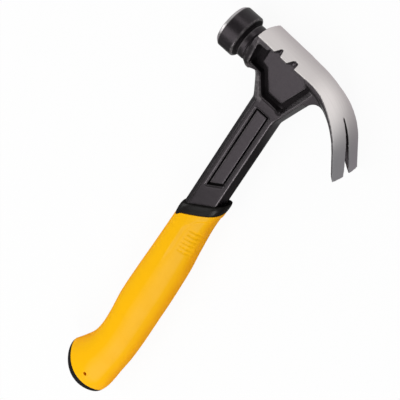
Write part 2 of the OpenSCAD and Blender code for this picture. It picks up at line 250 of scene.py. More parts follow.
def coated_forging(start):
    """Black baked coat, with the top, the claw and the striking face ground bright, painted shade
    in its hollows and towards the claw's tips, and painted highlights along its rubbed edges.
    """
    at = start.place()
    ground = start.field("ground")
    edge = start.field("edge")
    along = start.field("along")
    sunk = start.field("sunk")
    peel = start.noise(at, scale=800, detail=4, roughness=0.65)
    cloud = start.noise(at, scale=60)
    mottle = start.noise(at, scale=330, detail=2)
    fleck = start.noise(at, scale=700, detail=2).ramp(0.35, 0.70)
    chips = start.noise(at, scale=420, detail=4, roughness=0.65).ramp(0.45, 0.65)
    # Rubbed edges mixed with painted highlight lines
    rubbed_and_highlit = start.field("worn_and_highlit") * mix(WORN_AND_HIGHLIT_LEAST, 1.0, chips) * (1.0 - sunk)
    lay = start.vector("ADD", start.joined(along * BRUSH_ALONG, 0.0, 0.0),
                       start.vector("MULTIPLY", at, (0.0, 0.0, BRUSH_ACROSS)))
    brushing = start.noise(lay, scale=1, detail=4, roughness=0.6)
    coat = start.colour(cloud.ramp(0.3, 0.7), COAT_DEEP, COAT_THIN)
    coat = start.colour(fleck * 0.35, coat, COAT_FLECK)
    coat = start.colour(start.field("plate"), coat, COAT_ON_PLATES)
    coat = start.colour(rubbed_and_highlit, coat, COAT_RUBBED_AND_HIGHLIT)
    # Painted shade laid over the coat in the hollows
    coat = start.colour(sunk, coat, COAT_PAINTED_SHADE)
    # Painted shade: the steel darkens along the claw towards its tips
    steel = start.colour(along.ramp(*TIPS_ALONG), STEEL_TOP, STEEL_TIPS_PAINTED_SHADE)
    steel = start.colour(brushing.ramp(0.25, 0.8) * 0.30, steel, STEEL_BRUSHED)
    satin = 0.25 + cloud * 0.08 + fleck * 0.08 - edge * 0.04 + sunk * 0.5
    coat_relief = (peel + mottle * 0.5) * (1.0 - ground) * (1.0 - edge * 0.7)
    return {
        "Base Color": start.colour(ground, coat, steel),
        "Metallic": ground,
        "Roughness": mix(satin, 0.25 + brushing * 0.16, ground),
        "Normal": start.relief(coat_relief + brushing * ground * 0.4,
                               strength=0.24, distance=0.0002),
    }


PLASTIC_DARK = (0.0055, 0.0050, 0.0048, 1)
PLASTIC_PALE = (0.0110, 0.0098, 0.0092, 1)
SCUFF_SCALE = (900.0, 120.0, 500.0)


def black_moulding(start):
    """Black plastic with a fine moulding grain and faint scuffs."""
    at = start.place()
    grain = start.noise(at, scale=2600, detail=2)
    cloud = start.noise(at, scale=80)
    scuff = start.noise(start.vector("MULTIPLY", at, SCUFF_SCALE), scale=1, detail=4,
                        roughness=0.7).ramp(0.60, 0.80)
    return {
        "Base Color": start.colour(cloud, PLASTIC_DARK, PLASTIC_PALE),
        "Roughness": 0.26 + cloud * 0.12 + scuff * 0.12,
        "Normal": start.relief(grain + scuff * 0.4, strength=0.06, distance=0.0002),
    }


# Painted light on the rubber: a lit tone facing up, a shaded deeper orange on the sides, and a pale
# painted sheen
RUBBER_SHADED_SIDES = (0.95, 0.390, 0.0006, 1)
RUBBER_LIT_UP = (0.97, 0.495, 0.0015, 1)
RUBBER_PAINTED_SHEEN = (0.97, 0.515, 0.034, 1)
RUBBER_CLOUD = (0.96, 0.465, 0.004, 1)
RUBBER_HANDLED = (0.62, 0.28, 0.01, 1)


def yellow_rubber(start):
    """Soft yellow rubber with painted light: a lit paler tone where it faces up, a painted sheen
    band across its faces and painted shade in deeper orange down its sides.
    """
    at = start.place()
    up = start.math("ABSOLUTE", start.facing(2))
    grain = start.noise(at, scale=2400, detail=2)
    cloud = start.noise(at, scale=38)
    handled = start.noise(at, scale=120, detail=4, roughness=0.6).ramp(0.55, 0.75)
    # Painted sheen band where the faces turn slightly towards the claw side
    sheen_facing = up * 0.97 + start.facing(0) * 0.24
    body = start.colour(up.ramp(0.30, 0.95), RUBBER_SHADED_SIDES, RUBBER_LIT_UP)
    body = start.colour(sheen_facing.ramp(0.945, 0.998), body, RUBBER_PAINTED_SHEEN)
    body = start.colour(cloud.ramp(0.35, 0.75) * 0.35, body, RUBBER_CLOUD)
    return {
        "Base Color": start.colour(handled * 0.05, body, RUBBER_HANDLED),
        "Roughness": 0.48 + cloud * 0.10 - handled * 0.05,
        "Normal": start.relief(grain, strength=0.12, distance=0.00025),
    }


DAMPER_DARK = (0.020, 0.020, 0.022, 1)
DAMPER_PALE = (0.045, 0.045, 0.048, 1)


def damper_rubber(start):
    """Dark grey rubber of the strip in the tang."""
    grain = start.noise(start.place(), scale=900)
    return {
        "Base Color": start.colour(grain, DAMPER_DARK, DAMPER_PALE),
        "Roughness": 0.62 + grain * 0.2,
        "Normal": start.relief(grain, strength=0.2, distance=0.0003),
    }


FORGING_FINISH = finish("coated_and_ground_steel", coated_forging,
                        {"IOR": 1.5, "Specular IOR Level": 0.40,
                         "Specular Tint": (1.0, 0.88, 0.96, 1)})
MOULDING_FINISH = finish("black_moulding_plastic", black_moulding,
                         {"IOR": 1.5, "Specular IOR Level": 0.12})
RUBBER_FINISH = finish("yellow_grip_rubber", yellow_rubber,
                       {"IOR": 1.46, "Specular IOR Level": 0.06})
DAMPER_FINISH = finish("tang_damper_rubber", damper_rubber, {"IOR": 1.45})


# Pieces

def skin(name, rings, faces):
    """A mesh through rings of points in drawing millimetres."""
    mesh = bpy.data.meshes.new(name)
    mesh.from_pydata([tuple(p) for p in laid(np.concatenate(rings))], [], faces)
    mesh.validate()
    mesh.update()
    return mesh


def piece(name, mesh, material, slot, *stands_for):
    """A piece that stands for solids of the part and takes the given finish; its slot is not used.
    """
    made = bpy.data.objects.new(name, mesh)
    bpy.context.scene.collection.objects.link(made)
    mesh.materials.clear()
    mesh.materials.append(material)
    mesh.shade_smooth()
    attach(made, "root")
    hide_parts(*stands_for)
    return made


def settled(obj):
    """Applies an object's modifiers to its mesh."""
    graph = bpy.context.evaluated_depsgraph_get()
    mesh = bpy.data.meshes.new_from_object(obj.evaluated_get(graph))
    obj.modifiers.clear()
    old = obj.data
    obj.data = mesh
    bpy.data.meshes.remove(old)


def soft_edges(obj, degrees):
    """Smooth shading that stops at edges sharper than the given angle."""
    obj.data.shade_smooth()
    obj.data.set_sharp_from_angle(angle=math.radians(degrees))


# Handle rings, from the collar down: poll-side point, claw-side point, push of the middle,
# half thickness, squareness of the section

def collar_station(low):
    """Section of the collar along its slant, at a depth below the crossing."""
    ends = [(x, -low + COLLAR_SLOPE * x) for x in COLLAR_X]
    return [*ends[0], *ends[1], 0, 0, COLLAR_HALF, COLLAR_POWER]


SEAM = [-25.5, -291, 13.2, -309, -5.9, -14.5, BUTT_HALF, BUTT_POWER]
UNDERSIDE_ENDS = [SEAM[k] + CAP_REACH[k % 2] for k in range(4)]
# The push of its middle that brings the lowest point of the underside to BUTT_LOW
poll_end, claw_end = UNDERSIDE_ENDS[1], UNDERSIDE_ENDS[3]
underside_dip = BUTT_LOW + math.sqrt((BUTT_LOW + poll_end) * (BUTT_LOW + claw_end)) \
    + (poll_end + claw_end) / 2
UNDERSIDE = [*UNDERSIDE_ENDS, SEAM[4], -underside_dip, BUTT_HALF, BUTT_POWER]
STATIONS = np.array([
    collar_station(COLLAR_LOW),
    [-14.2, -151, 14.8, -136, 0, 0,
     mix(COLLAR_HALF, PALM_HALF, 0.5), mix(COLLAR_POWER, PALM_POWER, 0.6)],
    [-14.9, -174, 17.2, -168, 0, 0, PALM_HALF - 0.3, PALM_POWER],
    [-15.6, -200, 18.4, -200, 0, 0, PALM_HALF, PALM_POWER],
    [-15.8, -224, 18.6, -228, 0, 0, PALM_HALF, PALM_POWER],
    [-14.4, -244, 18.7, -252, 0, 0, PALM_HALF - 0.1, PALM_POWER],
    [-14.2, -259, 18.1, -270, 0, -1, PALM_HALF, PALM_POWER],
    [-16, -271, 16.8, -284, -1, -4, PALM_HALF + 0.2, PALM_POWER],
    [-20, -280.5, 15.5, -300, -3.3, -9, PALM_HALF, mix(PALM_POWER, BUTT_POWER, 0.5)],
    SEAM])
LAST = len(STATIONS) - 1
RING_POINTS = 168
TURN = np.arange(RING_POINTS) * 2 * math.pi / RING_POINTS


def station_at(place):
    """The handle's section at a place counted in stations, on one smooth spline."""
    i = min(int(place), LAST - 1)
    t = place - i
    p, q, r, s = (STATIONS[min(max(k, 0), LAST)] for k in (i - 1, i, i + 1, i + 2))
    return q + (r - p) * t / 2 + (p * 2 - q * 5 + r * 4 - s) * t * t / 2 \
        + (q * 3 - p - r * 3 + s) * t ** 3 / 2


def power(v, n):
    """Keeps the sign of a cosine or sine and squares up the section for n above 2."""
    return np.sign(v) * np.abs(v) ** (2 / n)


def ring(station, drawn_in):
    """Points round the handle at a station, drawn in from its surface."""
    station = np.asarray(station, float)
    poll_side, claw_side, push = station[0:2], station[2:4], station[4:6]
    half, square = station[6], station[7]
    middle = (poll_side + claw_side) / 2 + push
    shrink = 1 - drawn_in / (np.linalg.norm(claw_side - poll_side) / 2)
    t = (0.5 + power(np.cos(TURN), square) / 2 * shrink)[:, None]
    flat = mix(mix(poll_side, middle, t), mix(middle, claw_side, t), t)
    return np.column_stack([flat, power(np.sin(TURN), square) * (half - drawn_in)])


def stitched(rings, closed):
    """Quads between neighbouring rings; a closed run also joins its last ring to its first."""
    count = len(rings)
    faces = []
    for i in range(count if closed else count - 1):
        a, b = i * RING_POINTS, (i + 1) % count * RING_POINTS
        for k in range(RING_POINTS):
            n = (k + 1) % RING_POINTS
            faces.append((a + k, b + k, b + n, a + n))
    return faces


def lid(first, flip):
    """Strips of quads across one ring, from side to side."""
    faces = []
    for k in range(RING_POINTS // 2):
        p, q = first + k, first + k + 1
        r, s = first + (RING_POINTS - k) % RING_POINTS, first + RING_POINTS - k - 1
        corners = list(dict.fromkeys((p, q, s, r)))
        faces.append(tuple(reversed(corners)) if flip else tuple(corners))
    return faces


def capped(rings):
    """Faces of a run of rings with a lid on each end."""
    return stitched(rings, False) + lid(0, False) + lid((len(rings) - 1) * RING_POINTS, True)


# Small lobe of the collar over the sleeve on its poll side
LOBE_DROP = 2.6
LOBE_X = -11.2
LOBE_WIDE = 1.9
LOBE_SIDE = (2, 6)


def rim_drop(points):
    """How far the lobe brings the edge between collar and sleeve down."""
    return LOBE_DROP * hump(points[..., 0] - LOBE_X, LOBE_WIDE) \
        * ease(*LOBE_SIDE, np.abs(points[..., 2]))


def below_collar(points):
    """How far points lie below the slanted edge of the collar."""
    return -COLLAR_LOW + COLLAR_SLOPE * points[..., 0] - points[..., 1]


def outward(points):
    """Directions out of the handle at the points of its rings (rings, around, xyz)."""
    run = np.gradient(points, axis=0)
    around = (np.roll(points, -1, axis=1) - np.roll(points, 1, axis=1)) / 2
    normal = np.cross(around, run)
    return normal / np.linalg.norm(normal, axis=2, keepdims=True)


# Thumb panel: its left side, its top below the collar, its round corner and the fade at its foot
THUMB_LEFT = -0.2
THUMB_TOP = 5.2
THUMB_CORNER = 3.2
THUMB_CORNER_REACH = 9
THUMB_EDGE = (-0.6, 0.6)
THUMB_FOOT = (-176, -158)
THUMB_DEEP = 0.55
# Ribs across the thumb panel, from the collar down
RIBS = 6
RIB_FIRST = -138
RIB_PITCH = 3.8
RIB_TILT = 0.06
RIB_MIDDLE = 9
RIB_WIDE = 0.7
RIB_STARTS = (3.2, 5.2)
RIB_ENDS = (14.6, 12.2)
RIB_DEEP = 0.50
# Line where the halves of the mould met
PARTING_WIDE = 0.45
PARTING_STARTS = (3, 8)
PARTING_HIGH = 0.10


def thumb_relief(points):
    """Height of the sleeve over its smooth form: thumb panel, ribs and parting line."""
    x, y, z = points[..., 0], points[..., 1], points[..., 2]
    below = below_collar(points)
    left = x - THUMB_LEFT
    top = (below - THUMB_TOP) / math.hypot(1, COLLAR_SLOPE)
    corner = np.maximum(0, 1 - np.abs(left - top) / THUMB_CORNER_REACH) ** 2
    panel = ease(*THUMB_EDGE, np.minimum(left, top) - THUMB_CORNER * corner) * ease(*THUMB_FOOT, y)
    level = y - RIB_FIRST - RIB_TILT * (x - RIB_MIDDLE)
    ribs = sum(hump(level + RIB_PITCH * k, RIB_WIDE) for k in range(RIBS)) \
        * ease(*RIB_STARTS, x) * ease(*RIB_ENDS, x)
    parting = hump(z, PARTING_WIDE) * ease(*PARTING_STARTS, below)
    return PARTING_HIGH * parting - THUMB_DEEP * panel - RIB_DEEP * ribs


# Rings of the sleeve, in stations: close together down to the end of the ribs, then wider apart
CLOSE_END = 2
CLOSE_STEP = 1 / 42
WIDE_STEP = 1 / 9
INNER_EVERY = 7
LOBE_FADE = (9, 0)
# Both rims are softly rounded before the surface turns inwards
RIM_IN = 0.45
TOP_RIM_SHARE = 0.5
LOW_RIM_SHARE = 0.12
SLEEVE_SHARP = 38
# Bit that cuts the small hole
BIT_SIDES = 40
BIT_LONG = 12
BIT_RISE = 2


def grip_sleeve():
    """Yellow sleeve of the grip with its thumb panel, ribs and small round hole."""
    places = np.concatenate([np.arange(0, CLOSE_END, CLOSE_STEP),
                             np.arange(CLOSE_END, LAST, WIDE_STEP), [LAST]])
    outer = np.array([ring(station_at(v), 0) for v in places])
    outer[..., 1] -= rim_drop(outer) * ease(*LOBE_FADE, below_collar(outer))
    outer += outward(outer) * thumb_relief(outer)[..., None]
    inner = [ring(station_at(v), SLEEVE_T) for v in places[::-INNER_EVERY]]
    top_rim, low_rim = (ring(station_at(v), RIM_IN) for v in (0, LAST))
    top_rim[:, 1] -= rim_drop(top_rim)
    outer[0] = mix(outer[0], outer[1], TOP_RIM_SHARE)
    outer[-1] = mix(outer[-1], outer[-2], LOW_RIM_SHARE)
    rings = [top_rim, *outer, low_rim, *inner]
    made = piece("grip_sleeve_rubber", skin("grip_sleeve_rubber", rings, stitched(rings, True)),
                 RUBBER_FINISH, "yellow_rubber", "grip_sleeve")
    drill = bmesh.new()
    bit_r = PIN_HOLE_D / 2 * MM
    bmesh.ops.create_cone(drill, cap_ends=True, segments=BIT_SIDES, radius1=bit_r, radius2=bit_r,
                          depth=BIT_LONG * MM)
    bmesh.ops.translate(drill, verts=drill.verts,
                        vec=Vector(laid((*PIN_HOLE, PALM_HALF + BIT_RISE))))
    bit_mesh = bpy.data.meshes.new("pin_hole_bit")
    drill.to_mesh(bit_mesh)
    drill.free()
    bit = bpy.data.objects.new("pin_hole_bit", bit_mesh)
    bpy.context.scene.collection.objects.link(bit)
    cut = made.modifiers.new("pin_hole", "BOOLEAN")
    cut.object = bit
    cut.solver = "EXACT"
    settled(made)
    bpy.data.objects.remove(bit)
    soft_edges(made, SLEEVE_SHARP)


def neck_ring(low):
    """Outline of the neck at the collar, with the directions of a handle ring's points."""
    near = [(NECK_HALF, 0), (NECK_FACE_HALF, FRAME_HALF), (EDGE_CHAMFER - NECK_HALF, FRAME_HALF),
            (-NECK_HALF, EDGE_WALL)]
    corners = np.array(near + [(x, -z) for x, z in near[:0:-1]])
    points = []
    for x, _, z in ring(collar_station(low), 0):
        reach = 0
        for a, b in zip(corners, np.roll(corners, -1, axis=0)):
            out = np.array([(b - a)[1], -(b - a)[0]])
            reach = max(reach, out @ (x, z) / (out @ a))
        points.append((x / reach, -low + COLLAR_SLOPE * x / reach, z / reach))
    return np.array(points)


# Collar: the let-in edge round the neck, the rounding, the slightly swollen wall and its lower edge
COLLAR_TOP = COLLAR_LOW - COLLAR_H
COLLAR_ROUND = 1.5
COLLAR_ROUND_RINGS = 7
LET_IN_DEEP = 0.4
LET_IN_SHARE = 0.25
LET_IN_GAP = 0.5
COLLAR_WALL_FROM = COLLAR_TOP + 2.6
COLLAR_WALL_TO = COLLAR_LOW - 1.2
COLLAR_WALL_RINGS = 6
COLLAR_SWELL = 0.35
COLLAR_LOW_EDGE = ((0.5, 0.0), (0.05, 0.5), (0.0, 1.2))
# Core under the sleeve, in stations, just clear of it
CORE_FROM = 0.12
CORE_STEP = 0.45
CORE_GAP = 0.02


def collar():
    """Black collar, rounded at its top and let in for the neck, with the core below it."""
    rings = [neck_ring(SHOULDER_LOW), neck_ring(COLLAR_TOP + LET_IN_DEEP),
             mix(neck_ring(COLLAR_TOP), ring(collar_station(COLLAR_TOP), 0), LET_IN_SHARE),
             ring(collar_station(COLLAR_TOP), COLLAR_ROUND + LET_IN_GAP)]
    for turn in np.linspace(math.pi / 2, 0, COLLAR_ROUND_RINGS):
        low = COLLAR_TOP + COLLAR_ROUND * (1 - math.sin(turn))
        rings.append(ring(collar_station(low), COLLAR_ROUND * (1 - math.cos(turn))))
    wall = []
    for low in np.linspace(COLLAR_WALL_FROM, COLLAR_WALL_TO, COLLAR_WALL_RINGS):
        swell = COLLAR_SWELL * math.sin(math.pi * (low - COLLAR_TOP) / COLLAR_H)
        wall.append(ring(collar_station(low), -swell))
    for rise, drawn_in in COLLAR_LOW_EDGE:
        wall.append(ring(collar_station(COLLAR_LOW - rise), drawn_in))
    for band in wall:
        band[:, 1] -= rim_drop(band) * ease(0, 1, 1 + below_collar(band) / COLLAR_H)
    core = [ring(station_at(place), SLEEVE_T + CORE_GAP)
            for place in [*np.arange(CORE_FROM, LAST, CORE_STEP), LAST]]
    rings += wall + core
    piece("collar_and_core", skin("collar_and_core", rings, capped(rings)),
          MOULDING_FINISH, "black_moulding", "grip_core")


# Cap: its edge in the seam, where its rounding starts, in radians, and the rings of its underside
SEAM_IN = 0.5
CAP_FROM = 0.03
CAP_RINGS = 15
UNDERSIDE_IN = (4.5, 7.5)
CAP_SHARP = 50


def butt_cap():
    """Black end of the handle, rounded from the seam to its underside."""
    seam, underside = np.array(SEAM, float), np.array(UNDERSIDE, float)
    rings = [ring(seam, SEAM_IN)]
    for turn in np.linspace(CAP_FROM, math.pi / 2, CAP_RINGS):
        station = mix(seam, underside, math.sin(turn))
        rings.append(ring(station, CAP_ROUND * (1 - math.cos(turn))))
    rings += [ring(underside, drawn_in) for drawn_in in UNDERSIDE_IN]
    made = piece("butt_cap_moulding", skin("butt_cap_moulding", rings, capped(rings)),
                 MOULDING_FINISH, "black_moulding", "butt_cap")
    soft_edges(made, CAP_SHARP)


# Forging: the solid's own surface with its edges rounded as forged, coated and ground

VOXEL = 0.4
# Outlines seen from the side: the cheek pocket, the panel raised in it, and the recess in the neck
POCKET = [(-26, 20), (-26, -6.4), (-24.4, -7.6), (-15.6, -8.2), (-6.5, -21.2), (9.4, -21.2),
          (19.4, 8), (19.4, 20)]
PANEL = [(-19.6, 20), (-19.6, -3), (-14.6, -4.2), (-5.3, -18.2), (6.6, -18.2), (15.6, 6),
         (15.6, 20)]
RECESS_X = 0.6
RECESS_HALF = 5.4
RECESS_TOP = -30
RECESS_RISE = 24.6
RECESS_LOW = SHOULDER_LOW - RECESS_RISE
PAD_GAP = 1.2


def recess(gap):
    """Outline of the recess in the neck, drawn in by a gap on every side."""
    left, right = RECESS_X - RECESS_HALF + gap, RECESS_X + RECESS_HALF - gap
    low = RECESS_LOW - 2 * gap
    return [(left, RECESS_TOP - gap), (left, -low + COLLAR_SLOPE * left),
            (right, -low + COLLAR_SLOPE * right), (right, RECESS_TOP - gap)]


def inset(points, outline):
    """How far points lie inside an outline seen from the side; outside is negative."""
    flat = points[:, :2]
    reach = np.full(len(flat), np.inf)
    within = np.zeros(len(flat), bool)
    corners = np.array(outline, float)
    for a, b in zip(corners, np.roll(corners, -1, axis=0)):
        t = np.clip((flat - a) @ (b - a) / ((b - a) @ (b - a)), 0, 1)
        reach = np.minimum(reach, np.linalg.norm(flat - a - t[:, None] * (b - a), axis=1))
        if a[1] != b[1]:
            crossing = a[0] + (flat[:, 1] - a[1]) / (b[1] - a[1]) * (b[0] - a[0])
            within ^= ((flat[:, 1] > a[1]) != (flat[:, 1] > b[1])) & (flat[:, 0] < crossing)
    return np.where(within, reach, -reach)


def crown_depth(points):
    """Depth of points below the crown, how far along it they lie, and the way out of it."""
    slope, sweep = math.radians(TOP_SLOPE), math.radians(CLAW_SWEEP)
    rel = points[:, :2] - CLAW_CENTRE
    angle = np.arctan2(rel[:, 0], rel[:, 1])
    across = np.minimum(np.abs(points[:, 2]), CROWN_SPAN)
    bulge = np.sqrt(CROWN_R ** 2 - across ** 2) - CROWN_R
    held = np.clip(angle, slope, sweep)
    way = np.column_stack([np.sin(held), np.cos(held)])
    radius = np.einsum("ij,ij->i", rel, way)
    ahead = np.einsum("ij,ij->i", rel, np.column_stack([np.cos(held), -np.sin(held)]))
    straight = (angle < slope) | (angle > sweep)
    depth = CLAW_R + bulge - np.where(straight, RUN_STEP, 0) - radius
    along = TOP_RUN + CLAW_R * (held - slope) + np.where(straight, ahead, 0)
    return depth, along, way


EDGE_BREAK = 0.2


def poll_radius(reach):
    """Radius of ring and poll at a reach from the handle axis, with its edges just broken."""
    places = (POLL_BACK, POLL_BACK + POLL_CHAMFER, POLL_REACH - FACE_BEVEL, POLL_REACH)
    radii = (POLL_R - POLL_CHAMFER, POLL_R, POLL_R, POLL_R - FACE_INSET)
    spread = (-EDGE_BREAK, 0, EDGE_BREAK)
    turned = sum(np.interp(reach + d, places, radii) for d in spread) / len(spread)
    return np.where(reach < POLL_BACK - GROOVE_W / 2, RING_R, turned)


# Edges count from this angle on, in degrees, after a weld in metres, and are sampled in millimetres
SHARP = 24
WELD = 2e-6
EDGE_STEP = 0.3
# The joints of the crown's three runs are no real edges: depth, length and half width of them
JOINT_DEEP = 0.3
JOINT_LONG = 1.2
JOINT_HALF = 11.5


def sharp_edges(mesh):
    """Points along the solid's sharp edges, in drawing millimetres."""
    shape = bmesh.new()
    shape.from_mesh(mesh)
    bmesh.ops.remove_doubles(shape, verts=shape.verts, dist=WELD)
    points = []
    for edge in shape.edges:
        if len(edge.link_faces) == 2 and edge.calc_face_angle() > math.radians(SHARP):
            a, b = drawn([edge.verts[0].co, edge.verts[1].co])
            count = max(2, int(np.linalg.norm(b - a) / EDGE_STEP))
            points.extend(mix(a, b, t) for t in np.linspace(0, 1, count))
    shape.free()
    points = np.array(points)
    depth, along, _ = crown_depth(points)
    joints = (TOP_RUN, TOP_RUN + CLAW_R * math.radians(CLAW_SWEEP - TOP_SLOPE))
    to_joint = np.min([np.abs(along - joint) for joint in joints], axis=0)
    joint = (depth < JOINT_DEEP) & (to_joint < JOINT_LONG) & (np.abs(points[:, 2]) < JOINT_HALF)
    return points[~joint]


def nearest(points, samples):
    """Distance of each point to the nearest sample."""
    tree = KDTree(len(samples))
    for i, p in enumerate(samples):
        tree.insert(p, i)
    tree.balance()
    return np.array([tree.find(p)[2] for p in points])


# Rounds of smoothing, and the places that have their own number of them. Pairs are soft steps,
# but AT gives a place's X and Y, and WIDE its reach in both.
GROUND_ROUNDS = 3
COATED_ROUNDS = 4
FRAME_ROUNDS = 16
OPEN_ROUNDS = 40
RUN_OUT_ROUNDS = 60
BRACE_ROUNDS = 40
FORK_ROUNDS = 50
ROUND_SHARE = 0.6
GROUND_SKIN = 1.2
RING_X = -31
FRAME_Y = (-9, -16)
OFF_EDGE = (0.9, 2.2)
BY_RECESS = (-1.5, -0.5)
RECESS_RIM_SIDE = 7.9
RECESS_RIM_SHARE = 0.5
RECESS_WALL_SIDE = 7.5
RUN_OUT_AT = (27, -6)
RUN_OUT_WIDE = (5, 6)
RUN_OUT_SIDE = (3, 5)
FORK_AT = (9.4, -22)
FORK_WIDE = (3, 2.5)
FORK_SIDE = (4, 6)
BRACE_X = (-11, -14)
BRACE_LOW = (-29, -26)
BRACE_HIGH = (-9, -11)
BRACE_RIM = (0.4, -0.4)
BRACE_SIDE = 3


def spot(x, y, at, wide):
    """1 at a place seen from the side, fading round it."""
    return hump(x - at[0], wide[0]) * hump(y - at[1], wide[1])


def smoothing_rounds(points, to_edge):
    """Few rounds at ground edges, more at coated ones, most away from any edge."""
    x, y, side = points[:, 0], points[:, 1], np.abs(points[:, 2])
    ground = (crown_depth(points)[0] < GROUND_SKIN) | (x < RING_X)
    by_recess = ease(*BY_RECESS, inset(points, recess(0)))
    crisp = by_recess * np.where(side > RECESS_RIM_SIDE, RECESS_RIM_SHARE, 1)
    coated = COATED_ROUNDS + FRAME_ROUNDS * ease(*FRAME_Y, y) * (1 - crisp)
    off_edge = ease(*OFF_EDGE, to_edge) * (1 - by_recess * (side < RECESS_WALL_SIDE))
    run_out = spot(x, y, RUN_OUT_AT, RUN_OUT_WIDE) * ease(*RUN_OUT_SIDE, side)
    fork = spot(x, y, FORK_AT, FORK_WIDE) * ease(*FORK_SIDE, side)
    brace = ease(*BRACE_X, x) * ease(*BRACE_LOW, y) * ease(*BRACE_HIGH, y) \
        * ease(*BRACE_RIM, inset(points, POCKET)) * (side > BRACE_SIDE)
    return np.where(ground, GROUND_ROUNDS, coated) + OPEN_ROUNDS * off_edge \
        + RUN_OUT_ROUNDS * run_out + BRACE_ROUNDS * brace + FORK_ROUNDS * fork


def smoothed(points, mesh, rounds):
    """Points drawn towards the middle of their neighbours, each for its own rounds."""
    count = len(points)
    pairs = np.empty(len(mesh.edges) * 2, int)
    mesh.edges.foreach_get("vertices", pairs)
    a, b = pairs.reshape(-1, 2).T
    valence = np.bincount(pairs, minlength=count)
    for i in range(int(rounds.max())):
        mean = np.empty_like(points)
        for k in range(3):
            total = np.bincount(a, points[b, k], count) + np.bincount(b, points[a, k], count)
            mean[:, k] = total / valence
        points = mix(points, mean, (ROUND_SHARE * np.clip(rounds - i, 0, 1))[:, None])
    return points


# Bevels round the recess and the cheek pocket, on the faces beside them
RECESS_BEVEL = 1.3
POCKET_BEVEL = 1.2
BEVEL_SLOPE = 0.55
BEVEL_LAP = 0.3
BEVEL_SIDE = (7.8, 8.4)
BEVEL_TOP = 9
# Lip over the open corner of the pocket, thicker towards the flange
LIP_MORE = 2.0
LIP_BELOW = (0.7, 1.5)
LIP_FADE = (6.5, 3.0)
LIP_SIDE = (8.4, 9.4)
LIP_STARTS = (-28.0, -26.4)
LIP_ENDS = (-16.6, -18.4)
LIP_CORNER = (-22.6, -26.2)
LIP_CORNER_MORE = 0.75
# Surfaces that are brought back to their true form away from edges
CROWN_SNAP = 0.7
CROWN_OFF_EDGE = (0.7, 1.6)
RING_STARTS = (31.4, 32.0)
POLL_SNAP = (0.9, 0.5)
FACE_RIM = 0.4
GROOVE_WALLS = (0.25, 0.1)
NEAR_AXIS = 5
# Crease between the ring and the flange
CREASE_X = -31.3
CREASE_HALF = 0.7
CREASE_DEEP = 0.6
CREASE_TOP = (12.2, 9.8)
SKIN_GAP = 0.01


def worked(points, to_edge):
    """Bevels, lip, true crown and poll, and the crease; gives the points and the crease."""
    points = points.copy()
    side = np.abs(points[:, 2])
    for outline, width in ((recess(0), RECESS_BEVEL), (POCKET, POCKET_BEVEL)):
        into = inset(points, outline)
        drop = BEVEL_SLOPE * np.clip(width + into, 0, width) * (into < BEVEL_LAP)
        drop *= ease(*BEVEL_SIDE, side) * (side < BEVEL_TOP)
        points[:, 2] -= np.sign(points[:, 2]) * drop

    x = points[:, 0]
    depth, _, way = crown_depth(points)
    lip = ease(*LIP_BELOW, depth) * ease(*LIP_FADE, depth) * ease(*LIP_SIDE, side) \
        * ease(*LIP_STARTS, x) * ease(*LIP_ENDS, x)
    lip *= LIP_MORE * (1 + LIP_CORNER_MORE * np.square(ease(*LIP_CORNER, x)))
    points[:, :2] -= way * lip[:, None]

    depth, _, way = crown_depth(points)
    onto = (np.abs(depth) < CROWN_SNAP) * ease(*CROWN_OFF_EDGE, to_edge)
    points[:, :2] += way * (depth * onto)[:, None]

    reach, radius = -points[:, 0], np.hypot(points[:, 1], points[:, 2])
    turned = poll_radius(reach)
    in_groove = (reach > POLL_BACK - GROOVE_W - GROOVE_WALLS[0]) \
        & (reach < POLL_BACK + GROOVE_WALLS[1])
    on_poll = ease(*RING_STARTS, reach) * (reach < POLL_REACH - FACE_RIM) * ~in_groove \
        * ease(*POLL_SNAP, np.abs(radius - turned))
    points[:, 1:] *= mix(1, turned / np.maximum(radius, NEAR_AXIS), on_poll)[:, None]

    crease = np.clip(1 - np.square((points[:, 0] - CREASE_X) / CREASE_HALF), 0, 1) \
        * ease(*CREASE_TOP, points[:, 1])
    radius = np.hypot(points[:, 1], points[:, 2])
    points[:, 1:] *= (1 - CREASE_DEEP * crease / np.maximum(radius, NEAR_AXIS))[:, None]
    low, high = drawn([head_low, head_high])
    return np.clip(points, low + SKIN_GAP, high - SKIN_GAP), crease


class Spots:
    """Where the forging's points lie, as far as its finish goes by it."""

    def __init__(self, points, to_edge, crease):
        self.x, self.y, self.side = points[:, 0], points[:, 1], np.abs(points[:, 2])
        self.axis = np.hypot(self.y, self.side)
        self.depth, self.along, _ = crown_depth(points)
        self.pocket, self.panel = inset(points, POCKET), inset(points, PANEL)
        self.recess, self.pad = inset(points, recess(0)), inset(points, recess(PAD_GAP))
        self.to_edge = to_edge
        self.crease = crease


# Ground steel: how deep the top's grinding goes and where it starts; the striking face's edge,
# and the place along the crown that the face takes its tone from, with part of the tips' painted
# shade
GROUND_DEPTH = (0.50, 0.15)
GROUND_STARTS = (-32, -30.5)
FACE_EDGE = FACE_BEVEL - POLL_REACH
FACE_STEP = (FACE_EDGE + 0.1, FACE_EDGE - 0.5)
FACE_ALONG = 88

# Painted shade in the hollows: the wall of the pocket falls towards the claw and runs out under it
POCKET_WALL = (7.6, 4.6)
POCKET_WALL_FALLS = (-2, 6)
POCKET_WALL_SKEW = 0.4
POCKET_WALL_SOFT = 1.4
POCKET_RIM = (-0.5, 0.1)
PANEL_RIM = (0.3, -0.5)
POCKET_TOP = 12
CLAW_BAR_X = (4, 8)
CLAW_BAR_Y = (-18.5, -21.5)
TRENCH_SIDE = (8.0, 7.0)
RECESS_RIM = (-0.4, 0.0)
PAD_RIM = (0.15, -0.35)
GROOVE_X = (-POLL_BACK - 0.2, GROOVE_W - POLL_BACK + 0.1)
GROOVE_R = 14.2
CREASE_SHADE = 0.8
CREASE_STEP = (0.2, 0.8)


